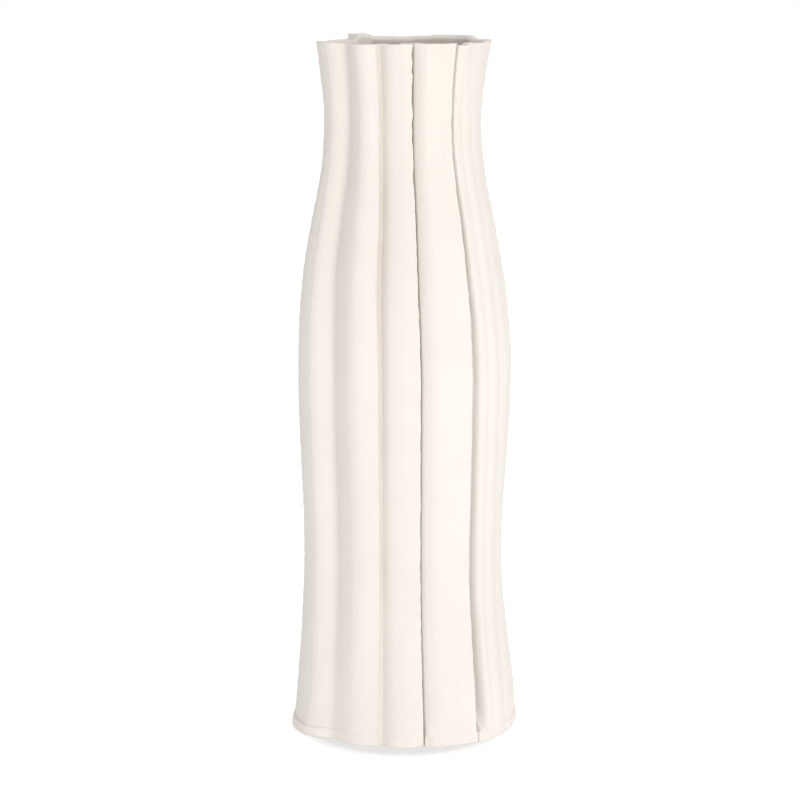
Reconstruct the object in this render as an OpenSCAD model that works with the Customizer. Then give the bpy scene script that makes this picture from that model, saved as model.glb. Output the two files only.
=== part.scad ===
// Tall vase built by hand from three upright clay slabs, lapped one over the next like shingles.
// Millimetres. The origin is on the table at the middle of the foot, +Z is up, the open lap is at -Y.
// Angles in the plan start at the front, -Y, and grow towards +X.

/* [Overall] */
// Height from the table to the cut rim
height = 480; // [460:1:540]
// Outer half width at the foot
foot_r = 79; // [75:0.5:86]
// Outer half width at the waist, above the flared foot
waist_r = 69.8; // [66:0.1:75]
// Outer half width at the belly
belly_r = 74.5; // [70:0.5:80]
// Outer half width where the shoulder is steepest
shoulder_r = 64.7; // [61:0.1:69]
// Outer half width at the neck
neck_r = 54; // [51:0.5:58]
// Outer half width at the rim
rim_r = 60.3; // [57:0.1:66]

/* [Heights of the profile] */
// Height of the waist
waist_z = 125; // [100:1:150]
// Height of the belly
belly_z = 252; // [225:1:280]
// Height of the steepest part of the shoulder
shoulder_z = 347; // [325:1:365]
// Height of the neck
neck_z = 424; // [405:1:440]

/* [Slabs] */
// Thickness of the three wall slabs
slab_t = 6; // [4.5:0.1:8]
// Thickness of the slip that bonds a lap
slip_t = 0.8; // [0.4:0.1:1.5]
// Width of each lap, measured round the foot
lap_w = 14; // [10:0.5:18]
// Width over which the inner face of a slab comes out again beside its lap
inner_ease_w = 22; // [18:0.5:26]
// How much higher than the rest of a lap the foot of the walls is pressed shut
foot_blend_h = 12; // [8:0.5:16]

/* [Laps] */
// Width of the open gap along the front lap
front_gap_w = 1; // [0.6:0.1:2]
// Width over which the front slab rises out of that gap
front_rise_w = 1.6; // [1:0.1:3]
// Depth of the step that is left there
front_step_d = 4.8; // [3:0.1:5.5]
// Width over which that step runs out along the front slab
front_run_w = 13.5; // [10:0.5:16]
// Width of the open gap along the right lap
right_gap_w = 5; // [3:0.1:6]
// Width over which the right slab rises out of that gap
right_rise_w = 4.6; // [3.5:0.1:6]
// Width of the open gap along the rear lap
rear_gap_w = 1; // [0.6:0.1:2]
// Width over which the left slab rises out of that gap
rear_rise_w = 2; // [1:0.1:3]
// Depth of the step that is left there
rear_step_d = 3; // [2:0.1:5]
// Width over which that step runs out along the left slab
rear_run_w = 12; // [10:0.5:16]
// Width that stays open beside a free edge at the floor slab
slit_reach_w = 1.5; // [1:0.1:2.5]

/* [Rim] */
// How much higher the raised corner of the rear lap stands than the rim
raised_corner_h = 1.1; // [0:0.1:3]
// How far the left slab is cut down at the back
rear_cut_h = 2.5; // [0:0.1:4]

/* [Floor] */
// Thickness of the floor slab that the walls stand on
floor_t = 7.5; // [6:0.5:10]
// How far the floor slab stands proud of the wall on the left side
left_lip_w = 4.7; // [1:0.1:6]
// Rounding of the upper edge of the floor slab on the left side
lip_round = 4.5; // [2:0.5:5]
// Depth of the shallow nick in its outline under the front lap
nick_d = 3.5; // [0.5:0.5:4]
// Width of the slits in its edge under the front and right laps
slit_w = 0.9; // [0.4:0.1:1.5]
// How far those slits lie beside the free edges
slit_aside_w = 1; // [0:0.1:2]
// Size of the clay coil that is pressed into the corner inside
coil_w = 8; // [5:0.5:12]

/* [Hidden] */

clay_white = [0.95, 0.92, 0.88];
slip_white = [0.97, 0.95, 0.92];

// Room between the corner coil and the curved walls
seat_gap = 0.8;
// Reach of the nick round the foot, and depth of the slits
nick_w = 9;
slit_d = 3.5;
// How far a cut runs past the surface that it opens
overrun = 1;
// Height of the top row of each slab, over which its cut edge rises and falls
rim_band = 8;
// Rows of faces up a wall between the pressed foot and the rim band, and in the pressed foot
wall_rows = 17;
foot_rows = 2;
// Columns of faces across a lap
lap_steps = 4;
// Degrees between the columns along the rest of a slab, and the least that may lie between two
column_step_angle = 6;
least_step_angle = 1;
// Columns beside a fold line, as shares of its softness, and the softness below which it has one
fold_column_shares = [-0.6, 0, 0.6];
crisp_angle = 1.5;
// Steps in the rounding of an edge, and degrees between points round the floor slab and the coil
round_steps = 3;
ring_step_angle = 3;

// Stations of the upright profile: height, half width and slope of the side
station_z = [0, waist_z, belly_z, shoulder_z, neck_z, height];
station_r = [foot_r, waist_r, belly_r, shoulder_r, neck_r, rim_r];
station_slope_share = [-0.05, 0, 0, -0.185, 0, 0.18];
// The clay leans a little to and fro as it rises, in shares of the local half width
station_sway_share = [0.015, -0.011, 0.008, -0.005, -0.016, -0.003];
// How strongly the folds show at each station
station_fold_share = [1, 1.05, 1.15, 1.4, 1.2, 1.25];

// Where the free edges of the three laps run, in degrees round the foot
front_edge_angle = 9.5;
right_edge_angle = 38;
rear_edge_angle = 219;
full_turn_angle = 360;

// Fold lines, as angles at the stations from foot to rim, first at the rear left and then round
// by the left, the front and the right to the rear again
fold_angles = [
    [-160, -160, -160, -160, -160, -164],
    [-141, -141, -141, -141, -141, -138.5],
    [-125, -125, -125, -125, -125, -125],
    [-106, -106, -107, -107, -106, -106],
    [-88, -88, -88, -90, -88, -88],
    [-64, -65, -67, -71, -66, -65],
    [-52, -53.5, -54, -58, -57, -55],
    [-43.5, -46, -46, -50.5, -48.5, -46],
    [-29.5, -29.5, -31, -31.5, -32.8, -32.2],
    [-21.5, -22, -23, -24, -24.5, -24.5],
    [-13.5, -14, -15.5, -16.8, -17, -17.8],
    [-7, -7.5, -8.8, -9, -9.8, -10],
    [0, 0, -0.5, -0.5, -1, -1],
    [9.5, 10.5, 8.8, 8.4, 7.5, 6],
    [16, 17, 15, 14.5, 14, 12.5],
    [28, 30, 28, 27.5, 27, 25],
    [38, 39.5, 36.2, 36.6, 35.5, 34.2],
    [45, 47.5, 43, 42, 40.5, 38],
    [49.5, 52, 48.5, 47.5, 46.2, 43.5],
    [55, 58, 53.5, 52.5, 52.5, 47],
    [61, 65, 59, 58, 59, 51],
    [67, 70, 65, 64, 64, 57],
    [77, 78, 76, 76, 75, 71],
    [90, 90, 90, 90, 90, 90],
    [108, 108, 108, 107, 107, 108],
    [124, 124, 124, 124, 124, 124],
    [140, 140, 140, 140, 140, 139],
    [159, 159, 159, 159, 159, 159],
    [171, 171, 171, 171, 171, 171],
    [184, 184, 184, 184, 184, 182],
    [200, 200, 200, 200, 200, 196],
    [219, 219, 219, 219, 219, 221.5],
    [235, 235, 235, 235, 235, 235],
];
// Half width of the plan at each fold line, as a share of the profile's half width
fold_shares = [
    1, 0.985, 1, 0.955, 0.985, 1.035, 1.035, 0.938, 1, 0.962, 0.878, 0.955, 0.971, 0.97,
    0.985, 1.005, 1.035, 1.05, 1.029, 1.042, 1.017, 1.026, 1.004, 1, 0.97, 1.005, 1.02, 0.96,
    0.975, 0.95, 1, 0.985, 1,
];
// Degrees over which the clay bends on either side of each fold line
fold_soft_angles = [
    9, 8, 8, 7, 6, 5, 4, 3, 6, 4, 1.2, 2.5, 3, 4,
    4, 4, 2, 3, 1.2, 2, 1.5, 2, 5, 6, 8, 7, 7, 5,
    5, 5, 7, 8, 8,
];
// Extra softness at the floor slab, and how far the plan runs past the first and last fold line
foot_soft_angle = 1;
open_angle = 90;

function smooth(t) = t * t * (3 - 2 * t);
function clamp(t) = min(1, max(0, t));
function blend(a, b, t) = a + (b - a) * t;
function degrees_of(w) = w / foot_r * 180 / PI;
function width_of(a) = a * foot_r * PI / 180;

// Which stretch between two stations a height lies in, and how far up that stretch
function stretch(z, k = 0) = k < len(station_z) - 2 && z > station_z[k + 1] ? stretch(z, k + 1) : k;
function climb(z, k) = clamp((z - station_z[k]) / (station_z[k + 1] - station_z[k]));
function station_blend(v, z) = let (k = stretch(z)) blend(v[k], v[k + 1], smooth(climb(z, k)));

// Smooth curve through the stations with the slopes given there
function profile_r(z) =
    let (k = stretch(z), t = climb(z, k), h = station_z[k + 1] - station_z[k],
         s = station_slope_share)
    blend(station_r[k], station_r[k + 1], smooth(t))
        + h * t * (1 - t) * ((1 - t) * s[k] - t * s[k + 1]);

// 1 at the floor slab and 0 above the height where the pressed foot ends
function foot_press(z) = 1 - smooth(clamp((z - floor_t) / foot_blend_h));

// Angle of a fold line at a height, the fold line before an angle round the foot, and the true
// angle at a height of a point that lies at angle a round the foot
fold_foot_angles = [for (line = fold_angles) line[0]];
last_fold = len(fold_angles) - 1;
function fold_angle(k, z) = station_blend(fold_angles[k], z);
function fold_before(a, k = 0) =
    k < last_fold - 1 && a > fold_foot_angles[k + 1] ? fold_before(a, k + 1) : k;
function drifted_angle(a, z) =
    let (k = fold_before(a), b = fold_foot_angles[k], c = fold_foot_angles[k + 1])
    blend(fold_angle(k, z), fold_angle(k + 1, z), (a - b) / (c - b));

// The plan runs straight from fold line to fold line, with each bend rounded
function slope_after(k, z) = k < 0 || k > last_fold - 1 ? 0
    : (fold_shares[k + 1] - fold_shares[k]) / (fold_angle(k + 1, z) - fold_angle(k, z));
function rounding(k, b, z) =
    let (here = fold_angle(k, z),
         before = k > 0 ? here - fold_angle(k - 1, z) : open_angle,
         after = k < last_fold ? fold_angle(k + 1, z) - here : open_angle,
         w = min(fold_soft_angles[k] + foot_soft_angle * foot_press(z), before, after),
         reach = max(0, w - abs(b - here)))
    (slope_after(k, z) - slope_after(k - 1, z)) * reach * reach / (4 * w);
function plan_share(a, z) =
    let (k = fold_before(a), b = drifted_angle(a, z))
    fold_shares[k] + slope_after(k, z) * (b - fold_angle(k, z)) + rounding(k, b, z) + rounding(k + 1, b, z);

// Outer half width of the vase at an angle round the foot and a height
function outer_r(a, z) = profile_r(z) * (1 + (plan_share(a, z) - 1) * station_blend(station_fold_share, z));
function place(r, a, z) =
    let (b = drifted_angle(a, z), sway = profile_r(z) * station_blend(station_sway_share, z))
    [sway + r * sin(b), -r * cos(b), z];

// A lap: the angle of its free edge, the gap beside it, the width over which the lower slab rises
// out of the gap, the depth of the step that is left, the width over which that runs out, how wide
// the gap and the rise are at the stations, and the columns of faces as shares of that last width
lap_deg = degrees_of(lap_w);
even_shares = [1, 1, 1, 1, 1, 1];
front_lap = [front_edge_angle, front_gap_w, front_rise_w, front_step_d, front_run_w,
             [1.1, 1, 1, 1, 1, 1.1], even_shares, [0.08, 0.2, 0.45, 0.7, 1]];
right_lap = [right_edge_angle, right_gap_w, right_rise_w, 0, right_gap_w + right_rise_w,
             [1.44, 1.04, 1, 0.6, 0.12, 0.06], [1.48, 1.04, 1, 0.74, 0.6, 0.6],
             [0.17, 0.35, 0.52, 0.68, 0.86, 1.05, 1.4]];
rear_lap = [rear_edge_angle - full_turn_angle, rear_gap_w, rear_rise_w, rear_step_d, rear_run_w,
            even_shares, even_shares, [0.08, 0.25, 0.6, 1]];
run_power = 1.4;
// Depth by which the outer face of a slab lies under its neighbour, and the same for its inner face
function tuck(a, z, lap) =
    let (past = width_of(a - lap[0]), full = slab_t + slip_t,
         u = clamp((past - lap[1] * station_blend(lap[5], z)) / (lap[2] * station_blend(lap[6], z))))
    ((full - lap[3]) * (1 - sqrt(1 - (1 - u) * (1 - u))) + lap[3] * pow(1 - clamp(past / lap[4]), run_power))
        * (1 - clamp(past / slit_reach_w) * foot_press(z));
function inner_tuck(a, lap) = (slab_t + slip_t) * (1 - smooth(clamp(width_of(a - lap[0]) / inner_ease_w)));
function lap_start(lap) = lap[0] - lap_deg;

// How far the rim is cut down along each slab, in shares of the deepest cut, at angles round the foot,
// and how far it is raised where the slabs lap at the back, in shares of the raised corner. The
// tucked end of the left slab is cut off aslant, so that its inner face stays high for longer.
left_cut_shares = [[-141, 0], [-140.4, 1], [-85, 0.9], [-75, 0.28], [-30, 0.28], [9.5, 0]];
left_raise_shares = [[-141, 1], [-140.4, 0]];
inner_cut_shares = [[-132, 0], [-131, 1], [-85, 0.9], [-75, 0.28], [-30, 0.28], [9.5, 0]];
inner_raise_shares = [[-132, 1], [-131, 0]];
right_cut_shares = [
    [28, 0.6], [49, 0.64], [50.5, 0], [80, 0], [90, 0.16], [105, 0.5], [122, 0.8], [132, 0],
    [150, 0], [180, 0.64], [200, 0.5], [208, 0.3], [209, 0],
];
right_raise_shares = [[208, 0], [209, 0.75]];
function rim_z(a, cut_shares, raise_shares) =
    height - rear_cut_h * lookup(a, cut_shares) + raised_corner_h * lookup(a, raise_shares);

// Angles in order, without those that lie too close to the one before or to the last
function in_order(v) = len(v) < 2 ? v : let (p = v[floor(len(v) / 2)])
    concat(in_order([for (x = v) if (x < p) x]), [p], in_order([for (x = v) if (x > p) x]));
function spaced(v) = let (n = len(v) - 1) [for (i = [0 : n])
    if (i == 0 || i == n || min(v[i] - v[i - 1], v[n] - v[i]) > least_step_angle) v[i]];
fold_columns = [for (k = [0 : last_fold])
    each fold_soft_angles[k] > crisp_angle
        ? [for (share = fold_column_shares) fold_foot_angles[k] + fold_soft_angles[k] * share]
        : [fold_foot_angles[k]]];

// Angles of the columns of points of a slab: evenly across the lap at either end, and in between
// at the fold lines and the corners of the lap
function slab_angles(lap, end) = let (far = end - lap_deg, inside = concat(
        [for (a = [lap[0] + column_step_angle : column_step_angle : far]) a],
        [for (share = lap[7]) lap[0] + degrees_of(share * lap[4])],
        fold_columns))
    concat(
        [for (i = [0 : lap_steps - 1]) blend(lap_start(lap), lap[0], i / lap_steps)],
        spaced(in_order(concat([lap[0], far], [for (a = inside) if (a > lap[0] && a < far) a]))),
        [for (i = [1 : lap_steps]) blend(far, end, i / lap_steps)]);
rows_z = concat(
    [for (j = [0 : foot_rows - 1]) floor_t + foot_blend_h * j / foot_rows],
    [for (j = [0 : wall_rows]) blend(floor_t + foot_blend_h, height - rim_band, j / wall_rows)]);

// Closed sheet between an outer and an inner grid of points, both as [column][row]
module sheet(outer, inner) {
    nc = len(outer);
    nr = len(outer[0]);
    function at(side, i, j) = (side * nc + i) * nr + j;
    function quad(a, b, c, d) = [[a, b, c], [a, c, d]];
    cells = [for (i = [0 : nc - 2], j = [0 : nr - 2]) [i, j]];
    faces = [
        for (c = cells) let (i = c[0], j = c[1])
            each quad(at(0, i, j), at(0, i, j + 1), at(0, i + 1, j + 1), at(0, i + 1, j)),
        for (c = cells) let (i = c[0], j = c[1])
            each [[at(1, i, j), at(1, i + 1, j + 1), at(1, i, j + 1)],
                  [at(1, i, j), at(1, i + 1, j), at(1, i + 1, j + 1)]],
        for (i = [0 : nc - 2])
            each quad(at(0, i, 0), at(0, i + 1, 0), at(1, i + 1, 0), at(1, i, 0)),
        for (i = [0 : nc - 2])
            each quad(at(0, i, nr - 1), at(1, i, nr - 1), at(1, i + 1, nr - 1), at(0, i + 1, nr - 1)),
        for (j = [0 : nr - 2])
            each quad(at(0, 0, j), at(1, 0, j), at(1, 0, j + 1), at(0, 0, j + 1)),
        for (j = [0 : nr - 2])
            each quad(at(0, nc - 1, j), at(0, nc - 1, j + 1), at(1, nc - 1, j + 1), at(1, nc - 1, j)),
    ];
    points = [for (side = [outer, inner], column = side, p = column) p];
    polyhedron(points = points, faces = faces, convexity = 8);
}

// Wall slab on the given columns, with the height of its rim outside and inside at each of them: it
// tucks under its neighbour at the given lap
module wall_slab(angles, tops, inner_tops, lap) {
    outer = [for (i = [0 : len(angles) - 1]) [for (z = concat(rows_z, tops[i]))
        place(outer_r(angles[i], z) - tuck(angles[i], z, lap), angles[i], z)]];
    inner = [for (i = [0 : len(angles) - 1]) [for (z = concat(rows_z, inner_tops[i]))
        place(outer_r(angles[i], z) - inner_tuck(angles[i], lap) - slab_t, angles[i], z)]];
    sheet(outer, inner);
}

// Slip between the slabs of one lap, drawn back one step from the free edge
module slip(lap) {
    angles = [for (i = [0 : lap_steps - 1]) blend(lap_start(lap), lap[0], i / lap_steps)];
    function grid(t) = [for (a = angles) [for (z = rows_z) place(outer_r(a, z) - t, a, z)]];
    sheet(grid(slab_t), grid(slab_t + slip_t));
}

// Outline of the floor slab: it follows the foot of the walls and stands proud of them here and
// there, with its upper edge rounded until it is flush with them
floor_lip_shares = [
    [-160, 0.32], [-110, 0.17], [-94, 0.04], [-84, 0.26], [-76, 0.68], [-70, 1], [-62, 1],
    [-52, 0.5], [-44, 0.21], [-20, 0.04], [-6, 0.32], [6, 0.32], [12, 0.04], [60, 0.04],
    [110, 0.21], [200, 0.32],
];
floor_round_shares = [[-120, 0.55], [-90, 1], [12, 1], [75, 0.65], [110, 0.35]];
function nick(a) = nick_d * smooth(clamp(1 - abs(a - front_edge_angle) / degrees_of(nick_w)));
function lip(a) = left_lip_w * lookup(a, floor_lip_shares);
function floor_r(a) = outer_r(a, floor_t) + lip(a) - nick(a);
ring_start_angle = rear_edge_angle - full_turn_angle;
ring_angles = spaced(in_order(concat(
    [for (a = [ring_start_angle : ring_step_angle : rear_edge_angle - ring_step_angle / 2]) a],
    [for (a = fold_foot_angles) if (a > ring_start_angle && a < rear_edge_angle - ring_step_angle / 2) a])));
function floor_ring(bend_angle) = [for (a = ring_angles)
    let (p = place(floor_r(a) - lip(a) * (1 - cos(bend_angle)), a, 0))
    [p[0], p[1], floor_t - lip_round * lookup(a, floor_round_shares) * (1 - sin(bend_angle))]];

module floor_blank() {
    n = len(ring_angles);
    rings = concat(
        [[for (p = floor_ring(0)) [p[0], p[1], 0]]],
        [for (q = [0 : round_steps]) floor_ring(90 * q / round_steps)]);
    m = len(rings) - 1;
    faces = [
        [for (i = [0 : n - 1]) i],
        [for (i = [n - 1 : -1 : 0]) m * n + i],
        for (q = [0 : m - 1], i = [0 : n - 1]) let (k = (i + 1) % n)
            each [[q * n + i, q * n + n + i, q * n + n + k], [q * n + i, q * n + n + k, q * n + k]],
    ];
    polyhedron(points = [for (ring = rings) each ring], faces = faces, convexity = 8);
}

module slit(a) {
    foot = place(floor_r(a) - slit_d, a, 0);
    translate([foot[0], foot[1], -overrun])
    rotate(a - 90)
    translate([0, -slit_w / 2, 0])
    cube([slit_d + nick_d + overrun, slit_w, floor_t + 2 * overrun]);
}

module floor_slab() {
    color(clay_white)
    difference() {
        floor_blank();
        slit(front_edge_angle + degrees_of(slit_aside_w));
        slit(right_edge_angle + degrees_of(slit_aside_w));
    }
}

// Coil in the corner inside: it steps inwards ahead of each slab's tucked edge
function coil_tuck(a, lap) = inner_tuck(a, lap)
    * smooth(clamp((a - lap_start(lap) + ring_step_angle + degrees_of(coil_w)) / degrees_of(coil_w)));
function coil_r(a, z) = outer_r(a, z) - slab_t - seat_gap
    - max(coil_tuck(a, front_lap), coil_tuck(a, right_lap), coil_tuck(a, rear_lap),
          coil_tuck(a - full_turn_angle, rear_lap));
coil_shares = [[0, 0], [1, 0], [0.9, 0.4], [0.6, 0.75], [0.25, 0.95], [0, 1]];

module corner_coil() {
    n = len(ring_angles);
    m = len(coil_shares);
    points = [for (a = ring_angles, s = coil_shares) let (z = floor_t + coil_w * s[1])
        place(coil_r(a, z) - coil_w * s[0], a, z)];
    faces = [for (i = [0 : n - 1], k = [0 : m - 1])
        let (i2 = (i + 1) % n, k2 = (k + 1) % m)
        each [[i * m + k, i2 * m + k, i2 * m + k2], [i * m + k, i2 * m + k2, i * m + k2]]];
    color(slip_white) polyhedron(points = points, faces = faces, convexity = 8);
}

module slab_left() {
    angles = slab_angles(rear_lap, front_edge_angle);
    tops = [for (a = angles) rim_z(a, left_cut_shares, left_raise_shares)];
    inner_tops = [for (a = angles) rim_z(a, inner_cut_shares, inner_raise_shares)];
    color(clay_white) wall_slab(angles, tops, inner_tops, rear_lap);
}

module slab_front() {
    angles = slab_angles(front_lap, right_edge_angle);
    tops = [for (a = angles) height];
    color(clay_white) wall_slab(angles, tops, tops, front_lap);
}

module slab_right() {
    angles = slab_angles(right_lap, rear_edge_angle);
    tops = [for (a = angles) rim_z(a, right_cut_shares, right_raise_shares)];
    color(clay_white) wall_slab(angles, tops, tops, right_lap);
}

module slip_front() {
    color(slip_white) slip(front_lap);
}

module slip_right() {
    color(slip_white) slip(right_lap);
}

module slip_rear() {
    color(slip_white) slip(rear_lap);
}

floor_slab();
slab_left();
slab_front();
slab_right();
slip_front();
slip_right();
slip_rear();
corner_coil();
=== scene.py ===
import math
import bpy
import numpy as np
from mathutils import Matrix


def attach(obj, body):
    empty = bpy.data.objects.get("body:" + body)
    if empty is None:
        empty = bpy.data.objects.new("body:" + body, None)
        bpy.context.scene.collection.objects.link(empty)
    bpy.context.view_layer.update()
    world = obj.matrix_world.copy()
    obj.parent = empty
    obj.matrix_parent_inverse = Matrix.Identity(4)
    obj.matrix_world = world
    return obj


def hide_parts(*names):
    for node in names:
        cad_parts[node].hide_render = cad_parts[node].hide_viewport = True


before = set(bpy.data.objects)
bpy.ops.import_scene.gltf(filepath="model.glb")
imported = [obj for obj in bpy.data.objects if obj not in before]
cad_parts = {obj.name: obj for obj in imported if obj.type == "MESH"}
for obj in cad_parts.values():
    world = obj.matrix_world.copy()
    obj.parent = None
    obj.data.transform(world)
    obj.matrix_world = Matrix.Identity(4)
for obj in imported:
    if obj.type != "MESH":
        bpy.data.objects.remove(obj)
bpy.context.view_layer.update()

mm = 0.001

# The vase as a whole, in millimetres, with z up from the table.
# Angles in the plan start at the front and grow towards the right, round to the rear.
vase = {
    "stationHeights": [0, 125, 252, 347, 424, 480],      # foot, waist, belly, shoulder, neck, rim
    "stationRadii": [79, 69.8, 74.5, 64.7, 54, 60.3],
    "stationSlopes": [-0.05, 0, 0, -0.185, 0, 0.18],
    "sway": [0.015, -0.011, 0.008, -0.005, -0.016, -0.003],    # lean to the right, share of the radius
    "foldStrength": [1, 1.05, 1.15, 1.4, 1.2, 1.25],
    "slabThickness": 6,
    "slipThickness": 0.8,
    "lapWidth": 14,
    "floorThickness": 7.5,
    "innerEase": 22,         # width over which the inner face comes out beside a lap
    "footSoftness": 1,       # extra softness of the bends at the floor slab, degrees
    "footBlend": 12,         # height over which that runs out
    "lapBlend": 13,          # height over which the laps close down to the floor slab
    "slitReach": 3.5,        # width that stays open there beside a free edge
    "flareAngles": [-92, -76, -66, -56, -48, -44, -20, -6, 6, 12],    # where the wall's foot spreads
    "flareWidths": [0, 0.6, 2.4, 2.4, 1.2, 0, 0, 1.3, 1.3, 0],
    "flareHeight": 40,
}
footRadius = vase["stationRadii"][0]
rimHeight = vase["stationHeights"][-1]

# Each bend of the plan: share of the radius, or its share at the six stations, softness (degrees
# over which the clay bends, either side of the line) and the angle at the six stations. The plan
# runs straight from bend to bend.
bends = [
    (1.000, 4, [-160, -160, -160, -160, -160, -164]),
    (0.985, 5, [-141, -141, -141, -141, -141, -138.5]),        # raised corner at the rear
    (1.000, 4, [-125, -125, -125, -125, -125, -125]),
    (0.955, 3.5, [-106, -106, -107, -107, -106, -106]),
    (0.985, 6, [-88, -88, -88, -90, -88, -88]),
    (1.035, 5, [-64, -65, -67, -71, -66, -65]),                # broad ridge on the left
    ([1.035, 1.035, 1.032, 1.014, 1.014, 1.021], 4, [-52, -53.5, -54, -56.8, -56, -54.3]),
    # deep valley, the two sides of the second ridge, narrow valley
    ([0.934, 0.906, 0.903, 0.906, 0.900, 0.902], 3.5, [-43.5, -46.5, -47, -51.5, -49.2, -47]),
    ([1.005, 1.035, 1.027, 1.027, 1.045, 1.035], 4.5, [-27, -26, -27.2, -28, -28, -28.6]),
    ([0.946, 0.968, 0.960, 0.962, 0.975, 0.972], 0.8, [-14.9, -13.8, -14.7, -16.3, -17.7, -18.8]),
    (0.880, 0.8, [-13.9, -13.3, -14.3, -15.9, -17.2, -18.3]),
    (0.955, 2.5, [-7, -7.5, -8.8, -9, -9.8, -10]),             # third ridge
    (0.971, 3, [0, 0, -0.5, -0.5, -1, -1]),
    (0.970, 4, [9.5, 10.5, 8.8, 8.4, 7.5, 6]),                 # free edge of the open lap
    (0.985, 4, [16, 17, 15, 14.5, 14, 12.5]),
    (1.005, 4, [28, 30, 28, 27.5, 27, 25]),
    (1.035, 2, [38, 39.8, 36.8, 37.4, 37.1, 35.7]),            # free edge at the crease
    ([1.050, 1.050, 1.050, 1.050, 1.050, 1.046], 3, [45, 47.5, 43, 42, 40.5, 38]),
    ([1.029, 1.029, 1.029, 1.026, 1.022, 1.040], 1.2, [49.5, 52, 48.5, 47.5, 46.2, 43.8]),
    ([1.042, 1.042, 1.042, 1.036, 1.034, 1.010], 2, [55, 58, 53.5, 52.5, 52.5, 47.3]),
    ([1.017, 1.017, 1.017, 1.017, 1.012, 0.996], 1.5, [61, 65, 59, 58, 59, 51]),
    ([1.026, 1.026, 1.026, 1.022, 1.014, 0.985], 2, [67, 70, 65, 64, 64, 57]),
    ([1.004, 1.004, 1.004, 1.004, 1.002, 0.992], 4, [77, 78, 76, 76, 75, 71]),
    (1.000, 6, [90, 90, 90, 90, 90, 90]),
    (0.970, 3.5, [108, 108, 108, 107, 107, 108]),
    (1.005, 4, [124, 124, 124, 124, 124, 124]),
    (1.020, 3, [140, 140, 140, 140, 140, 139]),
    (0.960, 2.5, [159, 159, 159, 159, 159, 159]),
    (0.975, 2.5, [171, 171, 171, 171, 171, 171]),
    (0.950, 2.5, [184, 184, 184, 184, 184, 182]),
    (1.000, 3.5, [200, 200, 200, 200, 200, 196]),
    (0.985, 5, [219, 219, 219, 219, 219, 221.5]),
    (1.000, 4, [235, 235, 235, 235, 235, 235]),
]
stations = len(vase["stationHeights"])
bendShares = np.array([np.broadcast_to(bend[0], stations) for bend in bends])
bendSoftness = np.array([bend[1] for bend in bends], float)
bendAngles = np.array([bend[2] for bend in bends], float)
freeRoom = 90            # degrees of room before the first bend and after the last

# The laps: angle of the free edge round the foot, and at the six stations the width of the open
# gap beside it, the width over which the lower slab rises out of that gap and how much deeper
# than the free edge it sinks. Then the depth of the step that is left, and the width over which
# that runs out along the surface.
laps = {
    "front": {"edge": 9.5, "gap": [1.1, 1, 1, 1, 1, 1.1], "rise": [1.7, 1.6, 1.6, 1.6, 1.6, 1.7],
              "sink": [0, 0, 0, 0, 0, 0], "step": 4.8, "run": 13.5},
    "right": {"edge": 38, "gap": [7.2, 5.2, 5, 3, 0.6, 0.3], "rise": [6.8, 4.8, 4.6, 3.4, 2.8, 2.8],
              "sink": [4.5, 1.2, 0, 0, 0, 0], "step": 0, "run": 9},
    "rear": {"edge": -141, "gap": [1, 1, 1, 1, 1, 1], "rise": [2, 2, 2, 2, 2, 2],
             "sink": [0, 0, 0, 0, 0, 0], "step": 3, "run": 12},
}
stepPower = 1.4          # the step runs out with the way left to this power
seam = laps["rear"]["edge"]


# Eased step: 3 t squared less 2 t cubed between 0 and 1
def easeStep(t):
    t = np.clip(t, 0, 1)
    return t * t * (3 - 2 * t)


def degreesOf(width):
    return np.degrees(width / footRadius)


def mmOf(angle):
    return np.radians(angle) * footRadius


# Station below a height, and the eased way up from it to the next
def stationBelow(z):
    heights = np.array(vase["stationHeights"], float)
    k = np.clip(np.searchsorted(heights, z) - 1, 0, len(heights) - 2)
    return k, easeStep((z - heights[k]) / (heights[k + 1] - heights[k]))


# Value at height z of a row of six station values
def alongHeight(values, z):
    k, t = stationBelow(z)
    values = np.asarray(values, float)
    return values[k] * (1 - t) + values[k + 1] * t


# Upright profile: a cubic between each two stations that keeps their radii and slopes
def profileRadius(z):
    heights = np.array(vase["stationHeights"], float)
    slopes = np.array(vase["stationSlopes"], float)
    k = np.clip(np.searchsorted(heights, z) - 1, 0, len(heights) - 2)
    h = heights[k + 1] - heights[k]
    t = np.clip((z - heights[k]) / h, 0, 1)
    lean = (1 - t) * slopes[k] - t * slopes[k + 1]
    return alongHeight(vase["stationRadii"], z) + h * t * (1 - t) * lean


def bendBefore(a):
    return np.clip(np.searchsorted(bendAngles[:, 0], a, side="right") - 1, 0, len(bends) - 2)


# Entry of bend k at height z, from a table with a column for each station
def bendEntry(table, k, z):
    k = np.clip(k, 0, len(bends) - 1)
    s, t = stationBelow(z)
    return table[k, s] * (1 - t) + table[k, s + 1] * t


def bendAngleAt(k, z):
    return bendEntry(bendAngles, k, z)


def bendShareAt(k, z):
    return bendEntry(bendShares, k, z)


# True angle at height z of a point that lies at angle a round the foot
def driftedAngle(a, z):
    a, z = np.broadcast_arrays(a, z)
    k = bendBefore(a)
    u = (a - bendAngles[k, 0]) / (bendAngles[k + 1, 0] - bendAngles[k, 0])
    return bendAngleAt(k, z) * (1 - u) + bendAngleAt(k + 1, z) * u


# Change of share per degree from bend k to the next, level before the first and after the last
def slopeAfter(k, z):
    inside = (k >= 0) & (k < len(bends) - 1)
    k = np.clip(k, 0, len(bends) - 2)
    rise = bendShareAt(k + 1, z) - bendShareAt(k, z)
    return np.where(inside, rise / (bendAngleAt(k + 1, z) - bendAngleAt(k, z)), 0)


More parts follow.
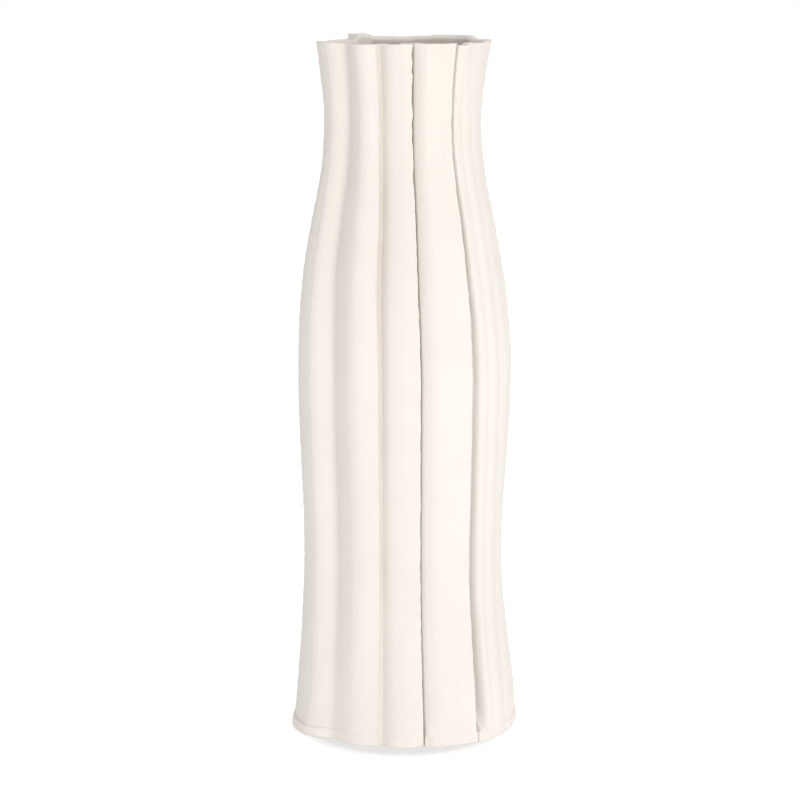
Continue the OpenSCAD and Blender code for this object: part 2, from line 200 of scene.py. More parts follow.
# What bend k adds to the straight run near it: change of slope times (w - d) squared over 4 w,
# with d degrees from the bend and w its softness, which never reaches the next bend
def roundedBend(k, angle, z, extra):
    here = bendAngleAt(k, z)
    room = np.minimum(
        np.where(k > 0, here - bendAngleAt(k - 1, z), freeRoom),
        np.where(k < len(bends) - 1, bendAngleAt(k + 1, z) - here, freeRoom))
    w = np.minimum(bendSoftness[k] + extra, room)
    change = slopeAfter(k, z) - slopeAfter(k - 1, z)
    return change * np.clip(w - abs(angle - here), 0, None) ** 2 / (4 * w)


# 1 at the floor slab and 0 above the height where the foot blends into the wall
def footCloseness(z):
    return 1 - easeStep((z - vase["floorThickness"]) / vase["footBlend"])


# Share of the radius in the plan. Close to the floor slab the bends are pressed softer.
def planShare(a, z):
    a, z = np.broadcast_arrays(a, z)
    k = bendBefore(a)
    angle = driftedAngle(a, z)
    extra = vase["footSoftness"] * footCloseness(z)
    straight = bendShareAt(k, z) + slopeAfter(k, z) * (angle - bendAngleAt(k, z))
    return straight + roundedBend(k, angle, z, extra) + roundedBend(k + 1, angle, z, extra)


# How far the wall spreads at its foot
def footFlare(a, z):
    spread = np.interp(a, vase["flareAngles"], vase["flareWidths"])
    return spread * (1 - easeStep(z / vase["flareHeight"]))


def outerRadius(a, z):
    folded = 1 + (planShare(a, z) - 1) * alongHeight(vase["foldStrength"], z)
    return profileRadius(z) * folded + footFlare(a, z)


# Point at radius r, angle a round the foot and height z, in metres
def place(r, a, z):
    b = np.radians(driftedAngle(a, z))
    sway = profileRadius(z) * alongHeight(vase["sway"], z)
    return np.stack([sway + r * np.sin(b), -r * np.cos(b), z + 0 * b], axis=-1) * mm


# Depth by which a slab lies under its neighbour at a lap: all of it up to the free edge and
# across the gap, then a quarter round up to the step, which runs out along the surface. Just above
# the floor slab the clay is pressed shut but for a slit at the edge.
def tuck(a, z, lapName):
    lap = laps[lapName]
    fromEdge = mmOf(a - lap["edge"])
    aboveFloor = easeStep((z - vase["floorThickness"]) / vase["lapBlend"])
    shut = np.clip(fromEdge / vase["slitReach"], 0, 1) * (1 - aboveFloor)
    full = vase["slabThickness"] + vase["slipThickness"] + alongHeight(lap["sink"], z)
    u = np.clip((fromEdge - alongHeight(lap["gap"], z)) / alongHeight(lap["rise"], z), 0, 1)
    wall = (full - lap["step"]) * (1 - np.sqrt(1 - (1 - u) ** 2))
    step = lap["step"] * (1 - np.clip(fromEdge / lap["run"], 0, 1)) ** stepPower
    return (wall + step) * (1 - shut)


# The inner face comes out from under the lap in one long ease
def innerTuck(a, lapName):
    full = vase["slabThickness"] + vase["slipThickness"]
    return full * (1 - easeStep(mmOf(a - laps[lapName]["edge"]) / vase["innerEase"]))


def lapStart(lapName):
    return laps[lapName]["edge"] - degreesOf(vase["lapWidth"])


# Soft unevenness of hand-rolled clay: a sum of waves that run round the vase a whole number of
# times, drawn from the first range, and up it with a length from the second, each with its own phase
def unevenness(a, z, seed, waves, turns, lengths):
    rng = np.random.default_rng(seed)
    total = 0 * (a + z)
    for i in range(waves):
        around = rng.integers(turns[0], turns[1])
        up = rng.uniform(lengths[0], lengths[1])
        phase = rng.uniform(0, 2 * math.pi)
        total = total + np.sin(around * np.radians(a) + 2 * math.pi * z / up + phase)
    return total / math.sqrt(waves)


# Lines pressed into the clay: angle round the foot, the heights between which the line runs, depth
pressedLines = {
    "width": 1.3,
    "fade": 20,
    "lines": [(49.5, 385, 520, 0.55), (61, 385, 455, 0.35), (49.5, 240, 300, 0.25), (61, 90, 330, 0.2),
              (27, 5, 75, 0.25), (66, 4, 30, 0.4), (20.5, 120, 330, 0.12), (-57, 395, 430, 0.2)],
}


# A V across each line: its depth times the way left to the edge of the line
def pressedDepth(a, z):
    total = 0 * (a + z)
    for angle, low, high, depth in pressedLines["lines"]:
        across = np.clip(1 - abs(mmOf(a - angle)) / pressedLines["width"], 0, 1)
        along = easeStep((z - low) / pressedLines["fade"]) * easeStep((high - z) / pressedLines["fade"])
        total = total + depth * across * along
    return total


# Unevenness of the whole surface, in millimetres: broad from the hands, fine from the roller
handWork = {
    "broadHeight": 0.22,
    "broad": {"seed": 3, "waves": 7, "turns": (3, 14), "lengths": (-260, 260)},
    "fineHeight": 0.05,
    "fine": {"seed": 5, "waves": 9, "turns": (40, 120), "lengths": (180, 900)},
}


def clayOffset(a, z):
    broad = handWork["broadHeight"] * unevenness(a, z, **handWork["broad"])
    fine = handWork["fineHeight"] * unevenness(a, z, **handWork["fine"])
    return broad + fine - pressedDepth(a, z)


# Closed mesh of a sheet between an outer and an inner grid of points, both [column][row]
def sheetFaces(nc, nr):
    cell = (np.arange(nc - 1)[:, None] * nr + np.arange(nr - 1)[None, :]).ravel()
    inside = nc * nr
    outer = np.stack([cell, cell + nr, cell + nr + 1, cell + 1], axis=1)
    inner = np.stack([cell, cell + 1, cell + nr + 1, cell + nr], axis=1) + inside
    low = np.arange(nc - 1) * nr
    high = low + nr - 1
    first = np.arange(nr - 1)
    last = first + (nc - 1) * nr
    edges = [
        np.stack([low + nr, low, low + inside, low + nr + inside], axis=1),
        np.stack([high, high + nr, high + nr + inside, high + inside], axis=1),
        np.stack([first, first + 1, first + 1 + inside, first + inside], axis=1),
        np.stack([last + 1, last, last + inside, last + 1 + inside], axis=1),
    ]
    return np.concatenate([outer, inner] + edges).tolist()


def newPiece(name, points, faces, material, slotName, *nodes):
    mesh = bpy.data.meshes.new(name)
    mesh.from_pydata(points.reshape(-1, 3).tolist(), [], faces)
    mesh.polygons.foreach_set("use_smooth", [True] * len(mesh.polygons))
    mesh.update()
    piece = bpy.data.objects.new(name, mesh)
    bpy.context.scene.collection.objects.link(piece)
    mesh.materials.append(material)
    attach(piece, "root")
    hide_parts(*nodes)
    print("made", name, "with", len(mesh.vertices), "points")
    return piece


# Positions from start to end, a step apart, and a fine step apart near the given places
def spreadSpots(start, end, step, places=(), reach=4, fineStep=0.4):
    rows = [np.linspace(start, end, int((end - start) / step) + 1)]
    for spot in places:
        rows.append(np.arange(max(start, spot - reach), min(end, spot + reach), fineStep))
    spots = np.sort(np.concatenate(rows))
    gaps = np.diff(spots, prepend=start - step)
    return spots[(gaps > 0.5 * fineStep) & (spots < end - 0.5 * fineStep)]


# The same with spots for a rounded edge at both ends, closer together the nearer the edge
def roundedSpots(spots, start, end, radius, arcSteps=6):
    lead = radius * (1 - np.cos(np.linspace(0, math.pi / 2, arcSteps + 1)))
    middle = spots[(spots > start + radius) & (spots < end - radius)]
    return np.concatenate([start + lead, middle, end - lead[::-1]])


# Depth of a rounded edge at a distance from it: a quarter circle of the given radius
def edgeDepth(distance, radius):
    left = np.clip(radius - distance, 0, None)
    return radius - np.sqrt(radius * radius - left * left)


def addNoise(tree, spot, scale, detail):
    noise = tree.nodes.new("ShaderNodeTexNoise")
    noise.inputs["Scale"].default_value = scale
    noise.inputs["Detail"].default_value = detail
    tree.links.new(spot, noise.inputs["Vector"])
    return noise.outputs["Fac"]


# Multiplies a color by a second one, as far as the factor says
def addTint(tree, factor, color, tint):
    mix = tree.nodes.new("ShaderNodeMix")
    mix.data_type = "RGBA"
    mix.blend_type = "MULTIPLY"
    mix.inputs["B"].default_value = tint + (1,)
    tree.links.new(factor, mix.inputs["Factor"])
    tree.links.new(color, mix.inputs["A"])
    return mix.outputs["Result"]


def addBump(tree, height, strength, depth):
    bump = tree.nodes.new("ShaderNodeBump")
    bump.inputs["Strength"].default_value = strength
    bump.inputs["Distance"].default_value = depth * mm
    tree.links.new(height, bump.inputs["Height"])
    return bump


def mottledColor(tree, spot, look):
    ramp = tree.nodes.new("ShaderNodeValToRGB")
    low, high = ramp.color_ramp.elements
    low.position = look["mottleLow"]
    low.color = look["shadeColor"] + (1,)
    high.position = look["mottleHigh"]
    high.color = look["color"] + (1,)
    tree.links.new(addNoise(tree, spot, look["mottleScale"], look["mottleDetail"]), ramp.inputs["Fac"])
    return ramp.outputs["Color"]


# 0 up to the height where the painted shade towards the rim starts, 1 where it is full
def paintedRimShadeMask(tree, spot, look):
    parts = tree.nodes.new("ShaderNodeSeparateXYZ")
    tree.links.new(spot, parts.inputs["Vector"])
    upwards = tree.nodes.new("ShaderNodeMapRange")
    upwards.interpolation_type = "SMOOTHSTEP"
    upwards.inputs["From Min"].default_value = look["rimPaintedShadeStart"] * mm
    upwards.inputs["From Max"].default_value = look["rimPaintedShadeFull"] * mm
    tree.links.new(parts.outputs["Z"], upwards.inputs["Value"])
    return upwards.outputs["Result"]


# Clay body: warm white, faintly mottled, with painted shade towards the rim and on the inner face, a fine
# grain and upright drag marks
def clayMaterial(name, look):
    material = bpy.data.materials.new(name)
    material.use_nodes = True
    tree = material.node_tree
    shader = tree.nodes["Principled BSDF"]
    shader.inputs["Roughness"].default_value = look["roughness"]
    shader.inputs["Specular IOR Level"].default_value = look["shine"]
    spot = tree.nodes.new("ShaderNodeTexCoord").outputs["Object"]

    color = mottledColor(tree, spot, look)
    # painted shade: the clay is drawn darker towards the rim
    color = addTint(tree, paintedRimShadeMask(tree, spot, look), color, look["rimPaintedShade"])
    # painted shade in the hollow: the inner face is drawn darker as far as the attribute inside says
    inside = tree.nodes.new("ShaderNodeAttribute")
    inside.attribute_name = "inside"
    color = addTint(tree, inside.outputs["Fac"], color, look["insidePaintedShade"])
    tree.links.new(color, shader.inputs["Base Color"])

    stretch = tree.nodes.new("ShaderNodeMapping")
    stretch.inputs["Scale"].default_value = (1, 1, look["dragStretch"])
    tree.links.new(spot, stretch.inputs["Vector"])
    drag = addNoise(tree, stretch.outputs["Vector"], look["dragScale"], look["dragDetail"])
    grain = addNoise(tree, spot, look["grainScale"], look["grainDetail"])
    dragBump = addBump(tree, drag, look["dragStrength"], look["dragDepth"])
    grainBump = addBump(tree, grain, look["grainStrength"], look["grainDepth"])
    tree.links.new(dragBump.outputs["Normal"], grainBump.inputs["Normal"])
    tree.links.new(grainBump.outputs["Normal"], shader.inputs["Normal"])
    return material


wallLook = {
    "color": (0.800, 0.758, 0.712),
    "shadeColor": (0.775, 0.731, 0.683),
    "insidePaintedShade": (0.68, 0.67, 0.65),    # painted shade of the hollow, multiplied in on the inner face
    "rimPaintedShade": (0.958, 0.955, 0.945),     # painted shade, a little darker towards the rim
    "rimPaintedShadeStart": 230,
    "rimPaintedShadeFull": 400,
    "roughness": 0.85,
    "shine": 0.25,
    "mottleScale": 22,
    "mottleDetail": 3,
    "mottleLow": 0.3,
    "mottleHigh": 0.7,
    "dragStretch": 0.03,                  # long upright marks
    "dragScale": 420,
    "dragDetail": 2,
    "dragDepth": 0.25,
    "dragStrength": 0.5,
    "grainScale": 1500,
    "grainDetail": 4,
    "grainDepth": 0.12,
    "grainStrength": 0.4,
}
slipLook = dict(wallLook, color=(0.79, 0.755, 0.715), shadeColor=(0.755, 0.715, 0.665))
slipLook["dragStrength"] = 0.1
wallClay = clayMaterial("bisqueWall", wallLook)
slipClay = clayMaterial("driedSlip", slipLook)
print("materials made")


# What the edges of the three wall slabs share, in millimetres
wallEdges = {
    "rimRound": 0.9,
    "innerRimRound": 2.2,
    "innerRound": 0.9,       # of the other edges of the inner face
    "wanderWaves": 9,        # waves in the line of a free edge
    "tearWaves": 6,          # waves in the torn look of it
    "rimReach": 40,          # height below the rim over which its unevenness runs out
    "rowReach": 12,          # rows are closer together this near the foot and the rim
    "rowFineStep": 1.2,
    "sharpBend": 2,          # columns are closer together at a bend that is less soft than this
    "pastFreeEdge": 3,       # and this far past the free edge that lies over the slab
    "insideShadeStart": 1,        # the painted shade of the inside begins this far below the rim
    "insideShadeFade": 3,
}


# Places across a slab that need closer columns
def crispSpots(slab, start, end):
    spots = [mmOf(bend[2][0]) for bend in bends if bend[1] < wallEdges["sharpBend"]]
    spots.append(mmOf(laps[slab["lap"]]["edge"]) + wallEdges["pastFreeEdge"])
    spots += [mmOf(step) for step in slab["steps"]]
    spots += [mmOf(line[0]) for line in pressedLines["lines"]]
    return [spot for spot in spots if start < spot < end]


# Line of the free edge: a wave less the size of a second one, which tears it
def edgeWander(slab, z):
    wave = unevenness(0 * z, z, slab["seed"], wallEdges["wanderWaves"], (0, 1), slab["wavePeriods"])
    torn = abs(unevenness(0 * z, z, slab["seed"] + 1, wallEdges["tearWaves"], (0, 1), slab["tearPeriods"]))
    return (wave - torn) * alongHeight(slab["edgeWave"], z)


# Depth of the rounded edges of one face: the sides, and the ends as far as the sides leave room
def roundedDepth(fromSide, sideRound, fromEnd, endRound):
    side = edgeDepth(fromSide, sideRound)
    return side + edgeDepth(fromEnd, endRound) * (1 - side / sideRound)


# Wall slab: columns run round from its start to its end angle, rows from the floor slab to its
# cut rim. A point lies at the outer radius less the tuck, less its depth into the clay.
def makeWallSlab(slab):
    start, end = mmOf(slab["start"]), mmOf(slab["end"])
    across = spreadSpots(start, end, slab["columnStep"], crispSpots(slab, start, end))
    across = roundedSpots(across, start, end, max(slab["edgeRounds"]))
    low, high = vase["floorThickness"], rimHeight
    up = spreadSpots(low, high, slab["rowStep"], [low, high], wallEdges["rowReach"], wallEdges["rowFineStep"])
    up = roundedSpots(up, low, high, wallEdges["innerRimRound"])
    share = ((across - start) / (end - start))[:, None]
    z0 = up[None, :]
    a = slab["start"] + (slab["end"] - slab["start"] + degreesOf(edgeWander(slab, z0))) * share
    nearRim = easeStep((z0 - high + wallEdges["rimReach"]) / wallEdges["rimReach"])
    z = z0 + slab["rim"](a) * nearRim
    innerZ = z0 + slab["innerRim"](a) * nearRim
    fromSide = np.minimum(across - start, end - across)[:, None]
    fromEnd = np.minimum(z0 - low, high - z0)
    upperHalf = z0 > 0.5 * high
    footRound = np.interp(a, slab["footRoundAngles"], slab["footRounds"])
    endRound = np.where(upperHalf, wallEdges["rimRound"], footRound)
    depth = roundedDepth(fromSide, alongHeight(slab["edgeRounds"], z0), fromEnd, endRound)
    endRound = np.where(upperHalf, wallEdges["innerRimRound"], wallEdges["innerRound"])
    innerDepth = roundedDepth(fromSide, wallEdges["innerRound"] + 0 * z0, fromEnd, endRound)
    outer = place(outerRadius(a, z) + clayOffset(a, z) - tuck(a, z, slab["lap"]) - depth, a, z)
    innerBase = outerRadius(a, innerZ) + clayOffset(a, innerZ)
    inner = innerBase - innerTuck(a, slab["lap"]) - vase["slabThickness"] + innerDepth
    points = np.stack([outer, place(inner, a, innerZ)])
    piece = newPiece(slab["name"], points, sheetFaces(*a.shape), wallClay, "bisque_wall", slab["node"])
    # Attribute inside: how much of the painted shade of the hollow each point of the inner face takes
    inside = easeStep((high - z0 - wallEdges["insideShadeStart"]) / wallEdges["insideShadeFade"])
    inside = inside * np.interp(a, slab["insideShadeAngles"], slab["insideShadeShares"])
    attribute = piece.data.attributes.new("inside", "FLOAT", "POINT")
    attribute.data.foreach_set("value", np.stack([0 * a, inside]).ravel())


rimCut = {"height": 0.12, "waves": 5, "turns": (9, 40), "lengths": (50, 60)}


# Height of the cut rim above its nominal height, through named places round the foot
def rimLine(angles, rises, seed):
    def rise(a):
        wobble = unevenness(a, 0 * a, seed, rimCut["waves"], rimCut["turns"], rimCut["lengths"])
        return np.interp(a, angles, rises) + rimCut["height"] * wobble
    return rise


leftSlab = {
    "name": "leftSlab", "node": "slab_left", "lap": "rear",
    "start": lapStart("rear"), "end": laps["front"]["edge"],
    "columnStep": 1.7, "rowStep": 2.1, "seed": 11,
    "edgeRounds": [0.7, 0.7, 0.7, 0.7, 0.7, 0.7],
    "edgeWave": [0.15, 0.15, 0.2, 0.4, 0.6, 0.6], "wavePeriods": (7, 40), "tearPeriods": (5, 18),
    # the inner face of the raised corner at the rear takes less of the painted shade
    "steps": [-141, -139.3], "insideShadeAngles": [-128, -116], "insideShadeShares": [0.4, 1],
    "footRoundAngles": [-62, -46], "footRounds": [0.5, 0.05],
    "rim": rimLine([-152, -151, -150, -141.3, -140.9, -85, -75, -30, 9.5],
                   [0.2, 0.5, 0.9, 1.2, -2.6, -2.3, -0.6, -0.7, 0], 12),
    "innerRim": rimLine([-152, -151, -150, -139.5, -139.2, -85, -75, -30, 9.5],
                        [0.2, 0.5, 0.8, 1.2, -2.6, -2.3, -0.6, -0.7, 0], 12),
}
frontSlab = {
    "name": "frontSlab", "node": "slab_front", "lap": "front",
    "start": lapStart("front"), "end": laps["right"]["edge"],
    "columnStep": 0.9, "rowStep": 2.4, "seed": 21,
    "edgeRounds": [0.9, 0.9, 0.9, 1.6, 2.6, 3],
    "edgeWave": [0.2, 0.15, 0.1, 0.15, 0.15, 0.15], "wavePeriods": (8, 26), "tearPeriods": (20, 60),
    "steps": [], "insideShadeAngles": [0, 1], "insideShadeShares": [1, 1],
    "footRoundAngles": [0, 10], "footRounds": [0.05, 0.05],
    "rim": rimLine([-2, 38], [0, 0], 22),
    "innerRim": rimLine([-2, 38], [0, 0], 22),
}
rightRimAngles = [28, 49.6, 50.4, 55, 61, 62.5, 64, 66, 77, 81, 89,
                  105, 115, 119, 124, 128, 150, 180, 200, 208, 209, 219]
rightRimRises = [-1.5, -1.6, 0, 0, -0.2, -1.1, -1.3, -0.6, -1.4, -1.6, -0.2,
                 -1.2, -1.5, -1.4, -0.4, 0.3, 0, -1.6, -1.2, -0.7, 0.7, 1.3]
rightSlab = {
    "name": "rightSlab", "node": "slab_right", "lap": "right",
    "start": lapStart("right"), "end": laps["rear"]["edge"] + 360,
    "columnStep": 1.5, "rowStep": 2.8, "seed": 31,
    "edgeRounds": [0.9, 0.9, 0.9, 0.9, 0.9, 0.9],
    "edgeWave": [0.2, 0.2, 0.2, 0.2, 0.2, 0.2], "wavePeriods": (8, 26), "tearPeriods": (20, 60),
    "steps": [50], "insideShadeAngles": [0, 1], "insideShadeShares": [1, 1],
    "footRoundAngles": [75, 110], "footRounds": [0.05, 0.9],
    "rim": rimLine(rightRimAngles, rightRimRises, 32),
    "innerRim": rimLine(rightRimAngles, rightRimRises, 32),
}
for slab in (leftSlab, frontSlab, rightSlab):
    makeWallSlab(slab)

# Floor slab: rings of the outline, drawn in at the rounded lower edge, and at the upper edge until
# they are flush with the wall
floorSlab = {
    "lipAngles": [-160, -110, -94, -84, -76, -70, -62, -52, -48, -44, -20, 60, 110, 200],
    "lipWidths": [1.5, 0.8, 0.2, 0.9, 2, 2.7, 2.2, 1.4, 2, 0.8, 0.2, 0.2, 1, 1.5],
    "nickDepth": 3.5,
    "nickWidth": 9,
    "upperRoundAngles": [-120, -90, -56, -44, -20, -6, 6, 12, 75, 110],
    "upperRounds": [2.4, 4.5, 4.5, 5, 5, 6, 6, 5, 3, 1.6],
    "lowerRoundAngles": [-100, -60, -44, 200],
    "lowerRounds": [1.5, 2.6, 1, 1],
    "slitHalf": 0.54,        # half the width of a slit at its mouth
    "slitFlank": 0.36,       # width over which its side falls
    "slitDepth": 3.5,
    "slitAside": 1,
    "slitReach": 3,          # columns are closer together this near a slit
    "slitFineStep": 0.15,
    "columnStep": 1.2,
    "inset": 0.1,            # of its upper edge behind the face of the wall
    "innerRing": 0.6,        # share of the radius of the ring within the edge
    "lowerArc": 5,           # rings in the rounded lower edge
    "upperArc": 7,
}


def floorRadius(a):
    lip = np.interp(a, floorSlab["lipAngles"], floorSlab["lipWidths"])
    fromEdge = abs(mmOf(a - laps["front"]["edge"]))
    nick = floorSlab["nickDepth"] * easeStep(1 - fromEdge / floorSlab["nickWidth"])
    return outerRadius(a, vase["floorThickness"] + 0 * a) + lip - nick + clayOffset(a, 0 * a)


# Depth of the narrow slits under the two laps that are seen from the front
def slitDepth(a):
    depth = 0 * a
    for lapName in ("front", "right"):
        fromSlit = abs(mmOf(a - laps[lapName]["edge"]) - floorSlab["slitAside"])
        fall = (floorSlab["slitHalf"] - fromSlit) / floorSlab["slitFlank"]
        depth = depth + floorSlab["slitDepth"] * np.clip(fall, 0, 1)
    return depth


def makeFloorSlab():
    t = vase["floorThickness"]
    slits = [mmOf(laps[lapName]["edge"]) + floorSlab["slitAside"] for lapName in ("front", "right")]
    spots = spreadSpots(mmOf(seam), mmOf(seam + 360), floorSlab["columnStep"], slits,
                        floorSlab["slitReach"], floorSlab["slitFineStep"])
    a = degreesOf(spots)
    upper = np.interp(a, floorSlab["upperRoundAngles"], floorSlab["upperRounds"])
    proud = np.interp(a, floorSlab["lipAngles"], floorSlab["lipWidths"]) + floorSlab["inset"]
    lower = np.interp(a, floorSlab["lowerRoundAngles"], floorSlab["lowerRounds"])
    rings = [(floorSlab["innerRing"], 0, 0)]
    for phi in np.linspace(0, math.pi / 2, floorSlab["lowerArc"]):
        rings.append((1, lower * (1 - math.sin(phi)), lower * (1 - math.cos(phi))))
    for phi in np.linspace(0, math.pi / 2, floorSlab["upperArc"]):
        rings.append((1, proud * (1 - math.cos(phi)), t - upper * (1 - math.sin(phi))))
    rings.append((floorSlab["innerRing"], 0, t))
    edge = floorRadius(a) - slitDepth(a)
    points = []
    for drawn, inset, z in rings:
        flat = place(edge * drawn - inset, a, 0 * a)
        flat[:, 2] = z * mm
        points.append(flat)
    n = len(a)
    middle = n * len(rings)
    points = np.concatenate(points + [np.array([[0, 0, 0], [0, 0, t * mm]])])
    i = np.arange(n)
    k = (i + 1) % n
    faces = [np.stack([i, k, k + n, i + n], axis=1) + q * n for q in range(len(rings) - 1)]
    top = middle - n
    ends = np.concatenate([np.stack([k, i, 0 * i + middle], axis=1),
                           np.stack([i + top, k + top, 0 * i + middle + 1], axis=1)])
    allFaces = np.concatenate(faces).tolist() + ends.tolist()
    newPiece("floorSlab", points, allFaces, wallClay, "bisque_wall", "floor_slab")


makeFloorSlab()

# Slip in the laps: a thin sheet behind each free edge
slipSheet = {"drawnBack": 2.5, "below": 8, "columns": 12, "rows": 160}
for lapName in laps:
    start = lapStart(lapName)
    end = laps[lapName]["edge"] - degreesOf(slipSheet["drawnBack"])
    a = np.linspace(start, end, slipSheet["columns"])[:, None]
    z = np.linspace(vase["floorThickness"], rimHeight - slipSheet["below"], slipSheet["rows"])[None, :]
    r = outerRadius(a, z) + clayOffset(a, z) - vase["slabThickness"]
    sheet = np.stack([place(r, a, z), place(r - vase["slipThickness"], a, z)])
    newPiece(lapName + "Slip", sheet, sheetFaces(slipSheet["columns"], slipSheet["rows"]),
             slipClay, "dried_slip", "slip_" + lapName)

# Coil in the corner inside: a bead along the walls that steps inwards ahead of each tucked edge
cornerCoil = {
    "width": 8,
    "gap": 0.3,
    "stepAhead": 3,          # degrees
    "columnStep": 0.75,      # degrees
    "arc": 9,
    "pressed": 0.06,         # unevenness of its width, as a share
    "fingers": {"seed": 41, "waves": 4, "turns": (20, 60), "lengths": (50, 60)},
}


def coilTuck(a, lapName):
    u = (a - lapStart(lapName) + cornerCoil["stepAhead"]) / degreesOf(cornerCoil["width"]) + 1
    return innerTuck(a, lapName) * easeStep(u)


def makeCornerCoil():
    a = np.arange(seam, seam + 360, cornerCoil["columnStep"])[:, None]
    phi = np.linspace(0, math.pi / 2, cornerCoil["arc"])[None, :]
    pressed = 1 + cornerCoil["pressed"] * unevenness(a, 0 * a, **cornerCoil["fingers"])
    inwards = np.concatenate([0 * phi[:, :1], np.cos(phi)], axis=1) * cornerCoil["width"] * pressed
    rise = np.concatenate([0 * phi[:, :1], np.sin(phi)], axis=1) * cornerCoil["width"]
    z = vase["floorThickness"] + rise + 0 * a
    step = np.maximum.reduce([coilTuck(a, "front"), coilTuck(a, "right"),
                              coilTuck(a, "rear"), coilTuck(a - 360, "rear")])
    r = outerRadius(a, z) - vase["slabThickness"] - cornerCoil["gap"] - step - inwards
    points = place(r, a, z)
    n, m = z.shape
    i, k = np.meshgrid(np.arange(n), np.arange(m), indexing="ij")
    i2 = (i + 1) % n
    k2 = (k + 1) % m
    faces = np.stack([i * m + k, i * m + k2, i2 * m + k2, i2 * m + k], axis=-1).reshape(-1, 4)
    newPiece("cornerCoil", points, faces.tolist(), slipClay, "dried_slip", "corner_coil")


makeCornerCoil()


# Floor to stand on, light and camera
studio = {
    "cameraSpot": (-0.0025, -1.827, 0.585),
    "cameraTilt": 78.98,
    "lens": 119.7,
    "sensorWidth": 36,
    "worldStrength": 0.84,
    "skyStrength": 0.68,          # of the world straight overhead
    "tableReach": 6,
    "floorColor": 0.9,
    "floorSeenColor": 0.85,       # how strongly the shadow shows on the white floor
    "floorLift": 0.45,            # keeps the rest of the floor white
    "floorGlow": 0.16,            # lights the foot from below
    "contactShade": 0.68,         # the table close round the foot, as a share of its white
    "contactNear": 0.072,
    "contactFar": 0.090,
    "contactForward": 0.004,      # towards the front
    "contactStretch": (1.04, 0.90, 1),
    "lamps": [
        # name, strength, azimuth, elevation, softness, color
        ("keyLight", 0.58, 17.5, 3, 35, (1, 0.985, 0.968)),
        ("sideLight", 0.12, 85, 3, 40, (1, 1, 1)),
        ("backLight", 0.25, 166, 16, 20, (1, 1, 1)),
    ],
}


# White for the camera and in reflections: 1 there, 0 for the light that falls on the object
def seenDirectly(nodes, links):
    rays = nodes.new("ShaderNodeLightPath")
    value = rays.outputs["Is Camera Ray"]
    for kind in ("Is Glossy Ray", "Is Transmission Ray"):
        either = nodes.new("ShaderNodeMath")
        either.operation = "MAXIMUM"
        links.new(value, either.inputs[0])
        links.new(rays.outputs[kind], either.inputs[1])
        value = either.outputs[0]
    return value


def chosenValue(nodes, links, factor, low, high):
    mix = nodes.new("ShaderNodeMix")
    mix.inputs["A"].default_value = low
    mix.inputs["B"].default_value = high
    links.new(factor, mix.inputs["Factor"])
    return mix.outputs["Result"]


# White all round, a little weaker overhead
def makeWorld():
    world = bpy.data.worlds.new("studioWorld")
    bpy.context.scene.world = world
    world.use_nodes = True
    nodes = world.node_tree.nodes
    links = world.node_tree.links
    background = nodes["Background"]
    background.inputs["Color"].default_value = (1, 1, 1, 1)
    direction = nodes.new("ShaderNodeTexCoord")
    parts = nodes.new("ShaderNodeSeparateXYZ")
    links.new(direction.outputs["Generated"], parts.inputs["Vector"])
    sky = chosenValue(nodes, links, parts.outputs["Z"], studio["worldStrength"], studio["skyStrength"])
    strength = chosenValue(nodes, links, seenDirectly(nodes, links), 0, 1)
    links.new(sky, strength.node.inputs["A"])
    links.new(strength, background.inputs["Strength"])


def makeLamps():
    for name, power, azimuth, elevation, softness, color in studio["lamps"]:
        sun = bpy.data.lights.new(name, "SUN")
        sun.energy = power * math.pi
        sun.angle = math.radians(softness)
        sun.color = color
        lamp = bpy.data.objects.new(name, sun)
        bpy.context.scene.collection.objects.link(lamp)
        lamp.rotation_euler = (math.radians(90 - elevation), 0, math.radians(azimuth))


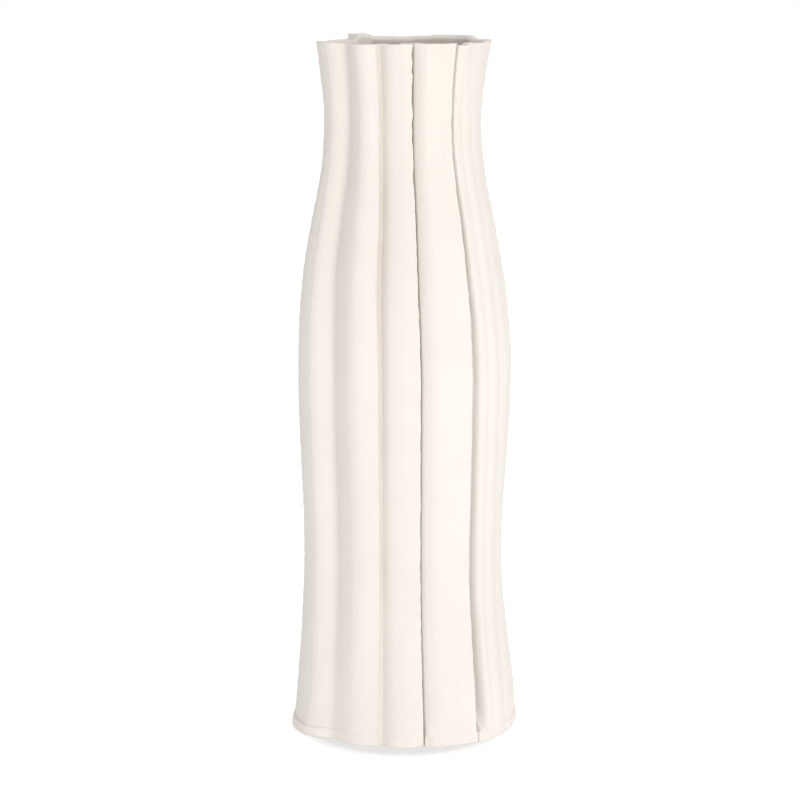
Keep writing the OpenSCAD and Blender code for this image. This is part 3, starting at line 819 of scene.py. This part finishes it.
# Soft shade round the foot: 1 away from it, less close to it
def contactRing(nodes, links):
    spot = nodes.new("ShaderNodeTexCoord")
    squashed = nodes.new("ShaderNodeMapping")
    squashed.inputs["Location"].default_value = (0, studio["contactForward"], 0)
    squashed.inputs["Scale"].default_value = studio["contactStretch"]
    links.new(spot.outputs["Object"], squashed.inputs["Vector"])
    away = nodes.new("ShaderNodeVectorMath")
    away.operation = "LENGTH"
    links.new(squashed.outputs["Vector"], away.inputs[0])
    ring = nodes.new("ShaderNodeMapRange")
    ring.interpolation_type = "SMOOTHSTEP"
    ring.inputs["From Min"].default_value = studio["contactNear"]
    ring.inputs["From Max"].default_value = studio["contactFar"]
    ring.inputs["To Min"].default_value = studio["contactShade"]
    links.new(away.outputs["Value"], ring.inputs["Value"])
    return ring.outputs["Result"]


# White paper that glows where the camera sees it, so that its ground is as white as a photo studio's
def paperMaterial():
    paper = bpy.data.materials.new("whitePaper")
    paper.use_nodes = True
    nodes = paper.node_tree.nodes
    links = paper.node_tree.links
    shader = nodes["Principled BSDF"]
    seen = seenDirectly(nodes, links)
    ring = contactRing(nodes, links)
    seenColor = chosenValue(nodes, links, ring, 0, studio["floorSeenColor"])
    seenLift = chosenValue(nodes, links, ring, 0, studio["floorLift"])
    shade = chosenValue(nodes, links, seen, studio["floorColor"], 1)
    links.new(seenColor, shade.node.inputs["B"])
    links.new(shade, shader.inputs["Base Color"])
    shader.inputs["Roughness"].default_value = 1
    shader.inputs["Specular IOR Level"].default_value = 0
    shader.inputs["Emission Color"].default_value = (1, 1, 1, 1)
    glow = chosenValue(nodes, links, seen, studio["floorGlow"], 1)
    links.new(seenLift, glow.node.inputs["B"])
    links.new(glow, shader.inputs["Emission Strength"])
    return paper


def makeTable():
    reach = studio["tableReach"]
    corners = [(-reach, -reach, 0), (reach, -reach, 0), (reach, reach, 0), (-reach, reach, 0)]
    floorMesh = bpy.data.meshes.new("tableTop")
    floorMesh.from_pydata(corners, [], [(0, 1, 2, 3)])
    floorMesh.materials.append(paperMaterial())
    floor = bpy.data.objects.new("tableTop", floorMesh)
    bpy.context.scene.collection.objects.link(floor)


def placeCamera():
    cameraData = bpy.data.cameras.new("camera")
    cameraData.lens = studio["lens"]
    cameraData.sensor_width = studio["sensorWidth"]
    camera = bpy.data.objects.new("camera", cameraData)
    bpy.context.scene.collection.objects.link(camera)
    camera.location = studio["cameraSpot"]
    camera.rotation_euler = (math.radians(studio["cameraTilt"]), 0, 0)
    bpy.context.scene.camera = camera


makeWorld()
makeLamps()
makeTable()
placeCamera()
bpy.context.scene.view_settings.view_transform = "Standard"
print("studio made")
